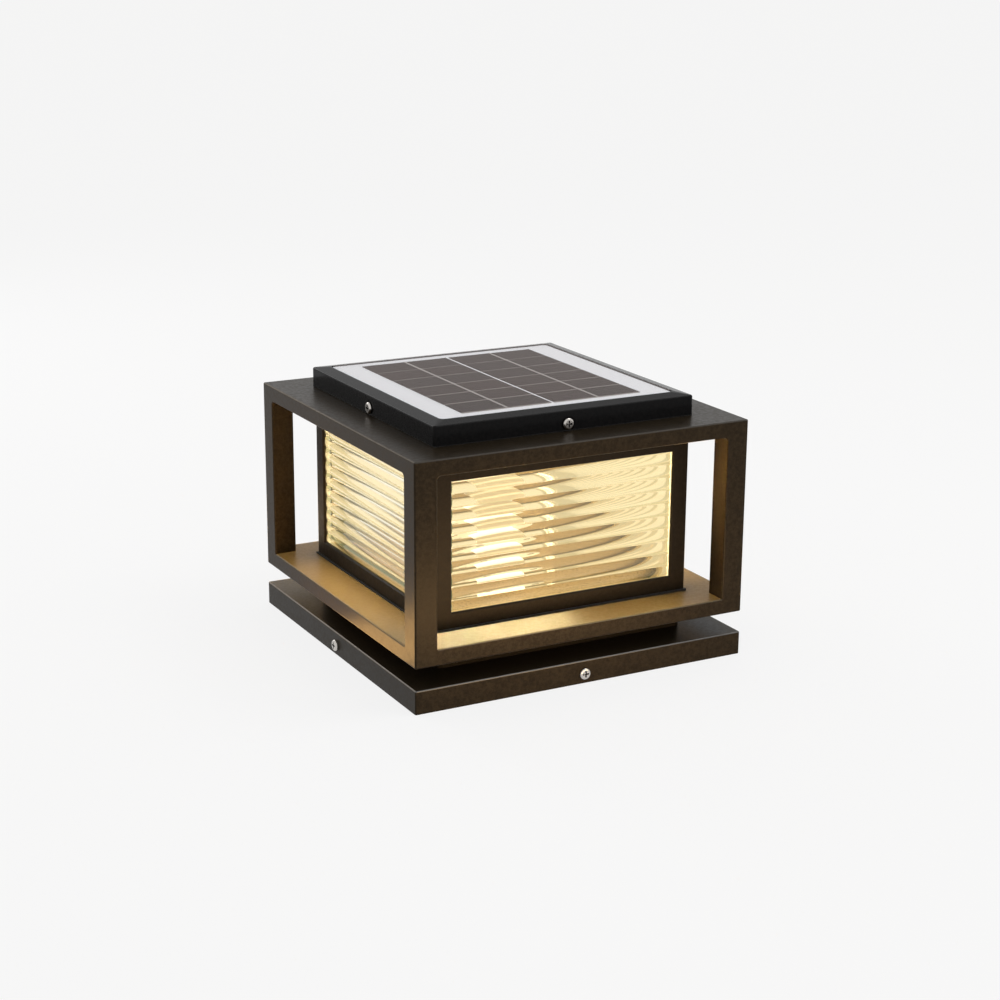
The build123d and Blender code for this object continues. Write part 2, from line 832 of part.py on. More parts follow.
sides = ("front", "right", "back", "left")
pieces = {
    "mounting_bracket": mounting_bracket(),
    "base_cover": base_cover(),
    "base_screws": base_screws(),
    "neck": neck(),
    "neck_bolts": neck_bolts(),
    "neck_nuts": neck_nuts(),
    "cage_base": cage_base(),
    "top_frame": top_frame(),
    "tie_bolts": tie_bolts(),
    "lamp_housing": lamp_housing(),
    "foot_gasket": foot_gasket(),
    "head_gasket": head_gasket(),
    "ceiling_plate": ceiling_plate(),
    "ceiling_screws": ceiling_screws(),
    "floor_reflector": floor_reflector(),
    "led_base": led_base(),
    "led_base_screws": led_base_screws(),
    "led_post": led_post(),
    "led_boards": led_boards(),
    "led_chips": led_chips(),
    "diffuser_tube": diffuser_tube(),
    "wiring_loom": wiring_loom(),
    "controller_board": controller_board(),
    "board_standoffs": board_standoffs(),
    "board_screws": board_screws(),
    "panel_lead": panel_lead(),
    "battery_holder": battery_holder(),
    "battery_cells": battery_cells(),
    "cap_bracket": cap_bracket(),
    "bracket_screws": bracket_screws(),
    "cap_gasket": cap_gasket(),
    "solar_cap": solar_cap(),
    "cap_screws": cap_screws(),
    "panel_pad": panel_pad(),
    "panel_backing": panel_backing(),
    "solar_cells": solar_cells(),
    "cell_ribbons": cell_ribbons(),
    "panel_cover": panel_cover(),
    "switch_body": switch_body(),
    "switch_washer": switch_washer(),
    "switch_nut": switch_nut(),
    "power_button": power_button(),
}
for side, shape in zip(sides, each_side(pane())):
    pieces[f"pane_{side}"] = shape
for side, shape in zip(sides, each_side(pane_seal())):
    pieces[f"pane_seal_{side}"] = shape
places = ("front_left", "front_right", "back_right", "back_left")
for place, shape in zip(places, each_side(corner_post())):
    pieces[f"corner_post_{place}"] = shape
for place, shape in zip(places, each_side(pane_retainer())):
    pieces[f"pane_retainer_{place}"] = shape

os.makedirs("parts", exist_ok=True)
for name, piece in pieces.items():
    shape = Compound(children=piece) if isinstance(piece, list) else piece
    export_step(shape, f"parts/{name}.step")
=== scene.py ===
"""Looks of the solar pillar light: ribbed panes, materials, the lit lamp, a plain studio and the camera."""
import json
import math

import bmesh
import bpy
from mathutils import Matrix, Vector


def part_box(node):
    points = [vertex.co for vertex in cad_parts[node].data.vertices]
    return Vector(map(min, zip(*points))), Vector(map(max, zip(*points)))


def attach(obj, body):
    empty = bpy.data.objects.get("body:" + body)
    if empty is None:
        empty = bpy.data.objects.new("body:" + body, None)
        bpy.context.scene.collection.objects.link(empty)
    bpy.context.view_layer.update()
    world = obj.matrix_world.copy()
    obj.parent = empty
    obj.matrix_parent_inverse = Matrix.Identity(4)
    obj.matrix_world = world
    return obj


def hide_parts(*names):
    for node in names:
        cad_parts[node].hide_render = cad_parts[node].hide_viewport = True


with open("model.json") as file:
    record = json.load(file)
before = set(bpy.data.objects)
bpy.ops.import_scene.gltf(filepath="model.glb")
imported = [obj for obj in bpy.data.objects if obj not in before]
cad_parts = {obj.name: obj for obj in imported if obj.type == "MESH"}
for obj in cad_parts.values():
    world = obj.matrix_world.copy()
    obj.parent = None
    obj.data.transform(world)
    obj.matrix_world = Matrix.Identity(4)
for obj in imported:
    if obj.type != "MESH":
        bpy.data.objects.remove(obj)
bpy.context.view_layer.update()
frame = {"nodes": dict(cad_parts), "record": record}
nodes = frame["nodes"]
SIDES = ("front", "right", "back", "left")

# Sizes, in metres
RIB_PITCH = 0.0091
RIB_HEIGHT = 0.0014
RIB_BORDER = 0.0006       # flat rim of the pane that shows in its window
PANE_OVERLAP = 0.005      # pane above and below its window
STILE_OVERLAP = 0.0054    # pane beside its window
VALLEY_ROUND = 0.00012
RIB_END = 0.0003          # slope at the end of a rib
RIB_WOBBLE = 0.00010      # how far a pressed rib strays from a straight line
LONG_WOBBLE = 0.0190      # how slowly it strays along the rib
SHORT_WOBBLE = 0.0073
SHORT_SHARE = 0.6         # of the quick straying, against 1 for the slow
WOBBLE_SHIFT = (1.7, 2.9)  # of the slow and the quick straying from rib to rib, in radians
PANE_SHIFT = 1.3          # and from pane to pane
RIB_STEPS = 16            # facets across one rib
PANE_COLUMNS = 48
PANE_CREASE = 40          # sharper edges stay sharp, in degrees
RIM_FADE = 0.0004         # half the width over which a pane's rim begins to glow
INNER_FACE = (0.0004, 0.0002)  # depth from the inner face at which its glow begins and is full
BEAD_RADIUS = 0.0013
BEAD_HEIGHT = 0.00008
BEAD_SIDES = 16
BEAD_RINGS = (0.0, 0.45, 0.8)  # share of the quarter turn from foot to top
BEAD_CREASE = 60
CELL_ROWS = 6
CELL_LINE_PITCH = 0.0019  # between the hair lines of a cell
CONTACT_WIDTH = 0.0009    # pale contact along each cell
GLOW_BANDS = 3            # brighter bands up the diffuser
TUBE_FOOT = (0.060, 0.070)  # where the bright foot of the diffuser fades
RECESS_SHADE_DEPTH = 0.002      # of a screw's cross, the reach of the painted shade in it
INSIDE_HALF = 0.0948      # lamp frame, from the middle to its inner faces
FLOOR_REACH = 30.0

# Coats
BRONZE_TINT = (1.0, 0.84, 0.66)     # warm cast of the coat's reflections
# lighter rubbed-metal grey on the upper edges, also a painted highlight along them
RUBBED_EDGE_HIGHLIGHT = (0.10, 0.097, 0.094)
EDGE_RISE = (0.10, 0.25)            # upward slope at which the wear and painted highlight of an edge begins
EDGE_FLAT = (0.93, 0.985)           # and ends
ROOF_WEAR_AND_HIGHLIGHT = 0.35                    # wear and painted highlight of the roof's edges, against 1 for the base's
WEAR_AND_HIGHLIGHT_FADE = 0.01                    # height above the base over which the wear and painted highlight fall

# Camera, fitted to the photograph
CAMERA_AT = (-0.650505, -1.212680, 0.493555)
CAMERA_AZIMUTH = -28.3031
CAMERA_ELEVATION = 16.1518
CAMERA_ROLL = 0.412
CAMERA_LENS = 72.92

# Studio light
PAPER = 0.965                 # pale background as seen, in linear light
PAPER_SHARE = 0.85            # how much of the floor shows as plain paper, the rest takes light and shadow
HORIZON = (0.51, 0.48, 0.45)  # surroundings at eye level
ZENITH = (0.75, 0.75, 0.75)   # surroundings overhead
SOFTBOX = 3.0                 # brightness of the two soft boxes
SOFTBOX_AIM = (0, 0, 0.1)
FRONT_BOX_AT = (0.68, -0.42, 1.37)
FRONT_BOX_SIZE = (0.7, 0.7)
BACK_BOX_AT = (-0.44, 1.35, 0.83)
BACK_BOX_SIZE = (0.7, 0.6)

# Light of the lamp itself
WARM = (1.0, 0.74, 0.30)
CREAM = (1.0, 0.86, 0.58)     # light sent to and fro inside the lamp
GOLD = (1.0, 0.80, 0.42)
EMBER = (1.0, 0.56, 0.16)
TUBE_GLOW = 1.5
CHIP_GLOW = 4.0
LAMP_STEPS = 4                # lights up the middle of the lamp
LAMP_RADIUS = 0.028
UP_GLOW = 1.1                 # brightness of the light inside, on the ceiling and on the floor
DOWN_GLOW = 0.45
CORNER_POWER = 6.0
POST_POWER = 0.85
SPILL_POWER = 0.35            # bent round the frame by the ribs
SILL_GLOW = 95.0              # from the panes on to the cage floor
SILL_SIZE = (0.16, 0.06)
SILL_DROP = 0.018             # below the middle of the lamp
SILL_GAP = 0.001              # in front of the lamp frame
SILL_TILT = (0, -1, -0.3)
FLOOR_POWER = 2.45            # bent down by the ribs
FLOOR_RADIUS = 0.067

# Lamp light sent back by the ground, first in front and behind, then to each side
GROUND_TINT = ((1.0, 0.68, 0.34), EMBER)
GROUND_GLOW = (10.5, 8.0)
GROUND_GAP = (0.12, 0.07)     # middle of the lit ground from the base
GROUND_LEAN = (1.0, 0.0)      # how far its light leans in to the lamp
GROUND_SIZE = (0.24, 0.10)
GROUND_RISE = 0.002           # above the floor


# Node helpers

class Look:
    """A material with one Principled shader, and short calls to build what drives it."""

    def __init__(self, name):
        self.material = bpy.data.materials.new(name)
        self.material.use_nodes = True
        self.tree = self.material.node_tree
        self.shader = self.tree.nodes["Principled BSDF"]
        self.place = self.add("ShaderNodeTexCoord").outputs["Object"]

    def add(self, kind, **settings):
        """A new node."""
        node = self.tree.nodes.new(kind)
        for key, value in settings.items():
            setattr(node, key, value)
        return node

    def put(self, socket, value):
        """Sets a socket, or links it if the value is another node's output."""
        if isinstance(value, bpy.types.NodeSocket):
            self.tree.links.new(value, socket)
        elif isinstance(value, tuple) and len(value) == 3 and len(socket.default_value) == 4:
            socket.default_value = (*value, 1.0)
        else:
            socket.default_value = value

    def set(self, **values):
        """Sets the shader's inputs, named with underscores for spaces."""
        for key, value in values.items():
            self.put(self.shader.inputs[key.replace("_", " ")], value)
        return self

    def noise(self, scale, detail=2.0, rough=0.5, stretch=None):
        """Noise from 0 to 1, with its scale in waves per metre."""
        node = self.add("ShaderNodeTexNoise")
        self.put(node.inputs["Vector"], self.stretched(stretch) if stretch else self.place)
        self.put(node.inputs["Scale"], scale)
        self.put(node.inputs["Detail"], detail)
        self.put(node.inputs["Roughness"], rough)
        return node.outputs["Fac"]

    def stretched(self, factors):
        """The place on the object, scaled along each axis."""
        node = self.add("ShaderNodeVectorMath", operation="MULTIPLY")
        self.put(node.inputs[0], self.place)
        self.put(node.inputs[1], factors)
        return node.outputs[0]

    def base_colour(self):
        """What drives the shader's colour so far."""
        return self.shader.inputs["Base Color"].links[0].from_socket

    def axis(self, name):
        """One coordinate of the place on the object."""
        node = self.add("ShaderNodeSeparateXYZ")
        self.put(node.inputs[0], self.place)
        return node.outputs[name]

    def math(self, operation, first, second=None):
        """Result of one calculation."""
        node = self.add("ShaderNodeMath", operation=operation)
        self.put(node.inputs[0], first)
        if second is not None:
            self.put(node.inputs[1], second)
        return node.outputs[0]

    def span(self, value, low, high, start=0.0, end=1.0):
        """Maps a value from one range to another, held at the ends."""
        node = self.add("ShaderNodeMapRange", interpolation_type="SMOOTHSTEP")
        for socket, item in zip(node.inputs, (value, low, high, start, end)):
            self.put(socket, item)
        return node.outputs[0]

    def mix(self, share, first, second):
        """Blends two colours."""
        node = self.add("ShaderNodeMix", data_type="RGBA")
        self.put(node.inputs["Factor"], share)
        colour_in = [s for s in node.inputs if s.type == "RGBA"]
        self.put(colour_in[0], first)
        self.put(colour_in[1], second)
        return [s for s in node.outputs if s.type == "RGBA"][0]

    def bump(self, height, strength, distance):
        """Relief on the surface."""
        node = self.add("ShaderNodeBump")
        self.put(node.inputs["Height"], height)
        self.put(node.inputs["Strength"], strength)
        self.put(node.inputs["Distance"], distance)
        self.put(self.shader.inputs["Normal"], node.outputs["Normal"])
        return self


# Materials

def powder_coat(name, dark, light, gloss, level, tint, peel_depth=0.25):
    """Fine-grained powder coat with a slight orange peel."""
    look = Look(name)
    grain = look.noise(1500, 3)
    peel = look.noise(420, 2)
    shade = look.math("ADD", look.math("MULTIPLY", grain, 0.5), look.math("MULTIPLY", peel, 0.5))
    look.set(Base_Color=look.mix(look.span(shade, 0.35, 0.65), dark, light),
             Roughness=look.span(peel, 0.3, 0.7, gloss - 0.05, gloss + 0.06),
             Specular_IOR_Level=level, Specular_Tint=tint)
    return look.bump(shade, peel_depth, 0.0002)


def bronze_coat():
    """Dark bronze coat with rubbed metal on its rounded upper edges, most of all on the base; that lighter
    metal is also a painted highlight along those edges.
    """
    look = powder_coat("bronze_coat", (0.013, 0.0095, 0.0058), (0.024, 0.0178, 0.0108),
                       gloss=0.33, level=0.09, tint=BRONZE_TINT)
    coat = look.base_colour()
    facing = look.add("ShaderNodeSeparateXYZ")
    look.put(facing.inputs[0], look.add("ShaderNodeNewGeometry").outputs["True Normal"])
    upward = facing.outputs["Z"]
    edge = look.math("MULTIPLY", look.span(upward, *EDGE_RISE), look.span(upward, *EDGE_FLAT, 1.0, 0.0))
    base_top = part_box("base_cover")[1].z
    amount = look.span(look.axis("Z"), base_top, base_top + WEAR_AND_HIGHLIGHT_FADE, 1.0, ROOF_WEAR_AND_HIGHLIGHT)
    # wear and painted highlight on the rounded upper edges
    wear_and_highlight = look.math("MULTIPLY", edge, amount)
    return look.set(Base_Color=look.mix(wear_and_highlight, coat, RUBBED_EDGE_HIGHLIGHT), Metallic=wear_and_highlight)


def lamp_coat():
    """Dark coat outside; inside the lamp frame the faces are pale gold, a painted glow of the lamp's light.
    """
    look = powder_coat("lamp_coat", (0.009, 0.0067, 0.0042), (0.014, 0.0105, 0.0070),
                       gloss=0.42, level=0.12, tint=BRONZE_TINT)
    coat = look.base_colour()
    across, along = (look.math("ABSOLUTE", look.axis(name)) for name in "XY")
    near = look.math("LESS_THAN", look.math("MAXIMUM", across, along), INSIDE_HALF)
    above = look.math("GREATER_THAN", look.axis("Z"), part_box("cage_base")[1].z)
    inside = look.math("MULTIPLY", near, above)
    # painted glow of the lamp's light on the frame's inner faces
    return look.set(Base_Color=look.mix(inside, coat, (0.50, 0.38, 0.20)))


def metal(name, colour, dull, gloss, scale, stretch):
    """Bare metal with a fine grain."""
    look = Look(name)
    grain = look.noise(scale, 3, stretch=stretch)
    look.set(Base_Color=look.mix(grain, dull, colour), Metallic=1.0,
             Roughness=look.span(grain, 0.2, 0.8, gloss - 0.06, gloss + 0.08))
    return look.bump(grain, 0.15, 0.0001)


def screw_steel():
    """Polished steel with painted shade darkening the recess of a screw."""
    look = metal("stainless", (0.62, 0.59, 0.555), (0.46, 0.43, 0.40), 0.20, 900, (1, 1, 8))
    steel = look.base_colour()
    recess_shade = look.add("ShaderNodeAmbientOcclusion")
    look.put(recess_shade.inputs["Distance"], RECESS_SHADE_DEPTH)
    unshaded_share = look.span(recess_shade.outputs["AO"], 0.35, 0.75)
    # painted shade in the screw's recess
    return look.set(Base_Color=look.mix(unshaded_share, (0.02, 0.015, 0.01), steel))


def plastic(name, dark, light, gloss, scale=900):
    """Moulded plastic, rubber or lacquer with a faint mottle."""
    look = Look(name)
    mottle = look.noise(scale, 2)
    look.set(Base_Color=look.mix(mottle, dark, light),
             Roughness=look.span(mottle, 0.2, 0.8, gloss - 0.05, gloss + 0.05))
    return look.bump(mottle, 0.12, 0.0001)


def ribbed_glass():
    """Clear warm pane whose inner face glows, faintly through the glass and more from within the lamp."""
    look = Look("ribbed_glass")
    cloud = look.noise(60, 3)
    low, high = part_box("pane_front")
    half = high.x - STILE_OVERLAP - RIB_BORDER
    middle = (low.z + high.z) / 2
    reach = (high.z - low.z) / 2 - PANE_OVERLAP - RIB_BORDER
    across = look.math("SUBTRACT", look.math("ABSOLUTE", look.axis("X")), half)
    rise = look.math("ABSOLUTE", look.math("SUBTRACT", look.axis("Z"), middle))
    along = look.math("SUBTRACT", rise, reach)
    rim = look.span(look.math("MAXIMUM", across, along), -RIM_FADE, RIM_FADE)
    inner = look.span(look.axis("Y"), *(high.y - depth for depth in INNER_FACE))
    through = look.add("ShaderNodeNewGeometry").outputs["Backfacing"]
    within = look.math("MULTIPLY", inner, look.math("SUBTRACT", 1.0, through))
    tint = look.mix(cloud, (1.0, 0.93, 0.76), (1.0, 0.95, 0.80))
    face = look.mix(through, (0.49, 0.41, 0.25), (0.065, 0.070, 0.034))
    light = look.mix(inner, look.mix(rim, (0.0, 0.0, 0.0), (0.20, 0.16, 0.08)), face)
    look.set(Base_Color=look.mix(within, tint, (0.25, 0.20, 0.12)), Roughness=0.03, IOR=1.49,
             Transmission_Weight=1.0, Emission_Color=light, Emission_Strength=1.0)
    return look


def opal():
    """Lit diffuser, brightest at its foot, with brighter bands up its height."""
    look = Look("opal_diffuser")
    low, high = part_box("led_chips")
    height = look.axis("Z")
    turns = 2 * math.pi * GLOW_BANDS / (high.z - low.z)
    wave = look.math("MULTIPLY", look.math("SUBTRACT", height, low.z), turns)
    spot = look.span(look.math("COSINE", wave), 0.4, 0.9)
    body = look.mix(spot, (0.05, 0.03, 0.010), (0.36, 0.30, 0.18))
    cloud = look.noise(80, 2)
    lit = look.mix(look.span(height, *TUBE_FOOT), (0.80, 0.75, 0.62), body)
    look.set(Base_Color=look.mix(cloud, (0.86, 0.84, 0.80), (0.90, 0.88, 0.84)), Roughness=0.35,
             Emission_Color=lit, Emission_Strength=TUBE_GLOW)
    return look


def lit_chip():
    """Phosphor of a lit LED."""
    look = Look("led_phosphor")
    grain = look.noise(3000, 2)
    look.set(Base_Color=look.mix(grain, (0.80, 0.58, 0.12), (0.90, 0.70, 0.20)), Roughness=0.4,
             Emission_Color=look.mix(grain, (1.0, 0.78, 0.42), (1.0, 0.86, 0.55)),
             Emission_Strength=CHIP_GLOW)
    return look


def silicon():
    """Dark cell with hair-fine lines across it and a pale contact along its front edge."""
    look = Look("solar_silicon")
    low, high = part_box("solar_cells")
    crystal = look.noise(160, 4, 0.6)
    wave = look.math("SINE", look.math("MULTIPLY", look.axis("Y"), 2 * math.pi / CELL_LINE_PITCH))
    line = look.span(wave, 0.90, 0.98)
    pitch = (high.y - low.y) / CELL_ROWS
    row = look.math("FLOOR", look.math("DIVIDE", look.math("SUBTRACT", look.axis("Y"), low.y), pitch))
    block = look.math("FLOOR", look.math("DIVIDE", look.axis("X"), high.x / 2))
    chance = look.add("ShaderNodeTexWhiteNoise", noise_dimensions="1D")
    look.put(chance.inputs["W"], look.math("ADD", look.math("MULTIPLY", row, 7.3), block))
    wafer = look.mix(chance.outputs["Value"], (0.028, 0.027, 0.026), (0.050, 0.032, 0.027))
    tone = look.mix(crystal, wafer, (0.042, 0.034, 0.031))
    along = look.math("MODULO", look.math("SUBTRACT", look.axis("Y"), low.y), pitch)
    contact = look.math("LESS_THAN", along, CONTACT_WIDTH)
    lined = look.mix(line, tone, (0.075, 0.066, 0.062))
    look.set(Base_Color=look.mix(contact, lined, (0.30, 0.27, 0.25)), Roughness=0.32,
             Specular_IOR_Level=0.0)
    return look.bump(crystal, 0.05, 0.0001)


def clear_cover():
    """Clear sheet that mirrors at a low angle and is seen straight through."""
    look = Look("panel_clear")
    haze = look.noise(900, 2)
    glaze = look.add("ShaderNodeBsdfGlossy")
    look.put(glaze.inputs["Color"], (1.0, 0.90, 0.87))
    look.put(glaze.inputs["Roughness"], look.span(haze, 0.2, 0.8, 0.16, 0.24))
    clear = look.add("ShaderNodeBsdfTransparent")
    look.put(clear.inputs["Color"], (0.97, 0.975, 0.98))
    fresnel = look.add("ShaderNodeFresnel")
    look.put(fresnel.inputs["IOR"], 1.09)
    outside = look.math("SUBTRACT", 1.0, look.add("ShaderNodeNewGeometry").outputs["Backfacing"])
    blend = look.add("ShaderNodeMixShader")
    look.put(blend.inputs[0], look.math("MULTIPLY", fresnel.outputs[0], outside))
    look.put(blend.inputs[1], clear.outputs[0])
    look.put(blend.inputs[2], glaze.outputs[0])
    look.put(look.tree.nodes["Material Output"].inputs["Surface"], blend.outputs[0])
    return look


def make_materials():
    """One material for each slot of the record."""
    sheet_grain = (12, 1, 1)
    return {
        "bronze_coat": bronze_coat(),
        "cap_coat": powder_coat("cap_coat", (0.009, 0.009, 0.0095), (0.014, 0.0135, 0.0135),
                                gloss=0.16, level=0.04, tint=(1.0, 1.0, 1.0), peel_depth=0.06),
        "lamp_coat": lamp_coat(),
        "stainless": screw_steel(),
        "zinc_steel": metal("zinc_steel", (0.62, 0.63, 0.65), (0.45, 0.46, 0.48), 0.38, 300, (1, 1, 1)),
        "seal_rubber": plastic("seal_rubber", (0.008, 0.008, 0.008), (0.016, 0.016, 0.015), 0.75),
        "ribbed_glass": ribbed_glass(),
        "opal_diffuser": opal(),
        "white_reflector": plastic("white_reflector", (0.80, 0.78, 0.72), (0.87, 0.85, 0.80), 0.35, 200),
        "gold_reflector": plastic("gold_reflector", (0.34, 0.21, 0.07), (0.46, 0.30, 0.11), 0.30, 700)
        .set(Metallic=0.4),
        "bare_aluminium": metal("bare_aluminium", (0.80, 0.80, 0.81), (0.66, 0.66, 0.67), 0.34, 500,
                                sheet_grain),
        "led_board": plastic("led_board", (0.78, 0.78, 0.76), (0.86, 0.86, 0.84), 0.4, 500),
        "led_phosphor": lit_chip(),
        "controller_pcb": plastic("controller_pcb", (0.010, 0.060, 0.022), (0.018, 0.095, 0.036), 0.35,
                                  400),
        "battery_can": plastic("battery_can", (0.020, 0.10, 0.070), (0.032, 0.14, 0.095), 0.28, 150),
        "black_plastic": plastic("black_plastic", (0.010, 0.010, 0.011), (0.018, 0.018, 0.019), 0.5),
        "wire_sleeve": plastic("wire_sleeve", (0.010, 0.010, 0.010), (0.020, 0.020, 0.020), 0.45, 600),
        "panel_white": plastic("panel_white", (0.80, 0.80, 0.82), (0.86, 0.86, 0.88), 0.4, 120),
        "solar_silicon": silicon(),
        "solder_ribbon": metal("solder_ribbon", (0.40, 0.36, 0.325), (0.27, 0.24, 0.22), 0.35, 700,
                               sheet_grain),
        "panel_clear": clear_cover(),
        "button_rubber": plastic("button_rubber", (0.16, 0.012, 0.009), (0.21, 0.018, 0.013), 0.45, 1200),
    }


# Pieces

def finished(name, mesh, material, body="lamp", turn=0):
    """A new piece, turned about the upright axis, on its body."""
    piece = bpy.data.objects.new(name, mesh)
    bpy.context.scene.collection.objects.link(piece)
    piece.matrix_world = Matrix.Rotation(turn, 4, "Z")
    mesh.materials.append(material)
    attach(piece, body)
    return piece


def rib_heights(bottom, top):
    """Heights of the mesh rows from bottom to top, close together in the valleys between the ribs."""
    rows = []
    count = math.ceil((top - bottom) / RIB_PITCH)
    for rib in range(count):
        for step in range(RIB_STEPS):
            share = (1 - math.cos(math.pi * step / RIB_STEPS)) / 2
            height = top - (rib + share) * RIB_PITCH
            if height > bottom + VALLEY_ROUND:
                rows.append(height)
    return rows[::-1]


def rib_bulge(x, z, top, seed):
    """How far the ribbed face stands out at one place."""
    rib = math.floor((top - z) / RIB_PITCH)
    slow = math.sin(x / LONG_WOBBLE + WOBBLE_SHIFT[0] * rib + seed)
    quick = math.sin(x / SHORT_WOBBLE + WOBBLE_SHIFT[1] * rib)
    wobble = RIB_WOBBLE * (slow + SHORT_SHARE * quick)
    radius = (RIB_PITCH ** 2 / 4 + RIB_HEIGHT ** 2) / (2 * RIB_HEIGHT)
    from_crest = top - z - (rib + 0.5) * RIB_PITCH
    edge = 1 - (2 * from_crest / RIB_PITCH) ** 2
    offset = from_crest + wobble * max(edge, 0.0)
    arc = math.sqrt(radius ** 2 - offset ** 2) - (radius - RIB_HEIGHT)
    return math.hypot(max(arc, 0.0), VALLEY_ROUND)


def around(sheet):
    """Points of a sheet's rim in order."""
    right = [line[-1] for line in sheet[1:]]
    left = [line[0] for line in sheet[-2:0:-1]]
    return sheet[0] + right + sheet[-1][-2::-1] + left


def pane_mesh(seed):
    """Front pane as a closed mesh with smooth pressed ribs on its outer face."""
    low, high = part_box("pane_front")
    land = low.y + RIB_HEIGHT
    window_top = high.z - PANE_OVERLAP
    field_bottom = low.z + PANE_OVERLAP + RIB_BORDER
    field_top = window_top - RIB_BORDER
    field_half = high.x - STILE_OVERLAP - RIB_BORDER
    rows = [z for z in rib_heights(field_bottom, window_top)
            if field_bottom + 1.5 * RIB_END < z < field_top - 1.5 * RIB_END]
    rows = [low.z, field_bottom, field_bottom + RIB_END, *rows, field_top - RIB_END, field_top, high.z]
    reach = field_half - RIB_END
    columns = [reach * (2 * step / PANE_COLUMNS - 1) for step in range(PANE_COLUMNS + 1)]
    columns = [low.x, -field_half, *columns, field_half, high.x]
    shape = bmesh.new()
    sheets = []
    for outer in (True, False):
        sheet = []
        for z in rows:
            inside = outer and rows[1] < z < rows[-2]
            line = []
            for x in columns:
                ribbed = inside and abs(x) < field_half - RIB_END / 2
                y = land - (rib_bulge(x, z, window_top, seed) if ribbed else 0.0)
                line.append(shape.verts.new((x, y if outer else high.y, z)))
            sheet.append(line)
        sheets.append(sheet)
    front, back = sheets
    for sheet, flip in ((front, False), (back, True)):
        for lower, upper in zip(sheet, sheet[1:]):
            for at in range(len(columns) - 1):
                corners = [lower[at], lower[at + 1], upper[at + 1], upper[at]]
                shape.faces.new(corners[::-1] if flip else corners)
    rim_front, rim_back = around(front), around(back)
    for at in range(len(rim_front)):
        shape.faces.new((rim_front[at - 1], rim_back[at - 1], rim_back[at], rim_front[at]))
    bmesh.ops.recalc_face_normals(shape, faces=shape.faces)
    return smooth_mesh("ribbed_pane", shape, PANE_CREASE)


def smooth_mesh(name, shape, angle):
    """Turns a bmesh into a mesh that is smooth except at edges sharper than an angle in degrees."""
    mesh = bpy.data.meshes.new(name)
    shape.to_mesh(mesh)
    shape.free()
    mesh.polygons.foreach_set("use_smooth", [True] * len(mesh.polygons))
    mesh.set_sharp_from_angle(angle=math.radians(angle))
    return mesh


def make_panes(materials):
    """Ribbed panes in place of the plain ones."""
    for turn, side in enumerate(SIDES):
        mesh = pane_mesh(PANE_SHIFT * turn)
        pane = finished(f"ribbed_pane_{side}", mesh, materials["ribbed_glass"],
                        turn=turn * math.pi / 2)
        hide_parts(f"pane_{side}")


def make_beads(materials):
    """Flat solder beads where the ribbons pass from cell to cell."""
    low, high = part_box("cell_ribbons")
    ribbon = nodes["cell_ribbons"]
    edges = sorted({round(abs(v.co.x), 5) for v in ribbon.data.vertices})
    column = sum(edges) / len(edges)
    run = high.y - low.y
    shape = bmesh.new()
    for x in (-column, column):
        for row in range(1, CELL_ROWS):
            y = low.y + run * row / CELL_ROWS
            add_dome(shape, Vector((x, y, high.z)))
    mesh = smooth_mesh("solder_beads", shape, BEAD_CREASE)
    finished("solder_beads", mesh, materials["solder_ribbon"])


def add_dome(shape, foot):
    """A low closed dome on a flat foot."""
    rings = []
    for share in BEAD_RINGS:
        radius = BEAD_RADIUS * math.cos(share * math.pi / 2)
        height = BEAD_HEIGHT * math.sin(share * math.pi / 2)
        turns = [2 * math.pi * step / BEAD_SIDES for step in range(BEAD_SIDES)]
        rings.append([shape.verts.new(foot + Vector((radius * math.cos(t), radius * math.sin(t), height)))
                      for t in turns])
    top = shape.verts.new(foot + Vector((0, 0, BEAD_HEIGHT)))
    shape.faces.new(rings[0][::-1])
    for lower, upper in zip(rings, rings[1:]):
        for at in range(BEAD_SIDES):
            shape.faces.new((lower[at - 1], lower[at], upper[at], upper[at - 1]))
    for at in range(BEAD_SIDES):
        shape.faces.new((rings[-1][at - 1], rings[-1][at], top))


# Studio

def make_floor():
    """Large pale floor that shows as the background and keeps a soft shadow."""
    mesh = bpy.data.meshes.new("floor")
    corners = [(x * FLOOR_REACH, y * FLOOR_REACH, 0) for x, y in ((-1, -1), (1, -1), (1, 1), (-1, 1))]
    mesh.from_pydata(corners, [], [(0, 1, 2, 3)])
    floor = bpy.data.objects.new("floor", mesh)
    bpy.context.scene.collection.objects.link(floor)
    look = Look("paper")
    tone = look.noise(3, 2)
    look.set(Base_Color=look.mix(tone, (0.88, 0.88, 0.88), (0.90, 0.90, 0.90)), Roughness=0.9,
             Specular_IOR_Level=0.0)
    path = look.add("ShaderNodeLightPath")
    direct = look.math("MAXIMUM", path.outputs["Is Camera Ray"], path.outputs["Is Transmission Ray"])
    seen = look.math("MAXIMUM", direct, path.outputs["Is Glossy Ray"])
    paper = look.add("ShaderNodeEmission")
    look.put(paper.inputs["Color"], (PAPER, PAPER, PAPER))
    blend = look.add("ShaderNodeMixShader")
    look.put(blend.inputs[0], look.math("MULTIPLY", seen, PAPER_SHARE))
    look.put(blend.inputs[1], look.shader.outputs[0])
    look.put(blend.inputs[2], paper.outputs[0])
    sheet = look.add("ShaderNodeMixShader")
    look.put(sheet.inputs[0], look.add("ShaderNodeNewGeometry").outputs["Backfacing"])
    look.put(sheet.inputs[1], blend.outputs[0])
    look.put(sheet.inputs[2], look.add("ShaderNodeBsdfTransparent").outputs[0])
    look.put(look.tree.nodes["Material Output"].inputs["Surface"], sheet.outputs[0])
    mesh.materials.append(look.material)


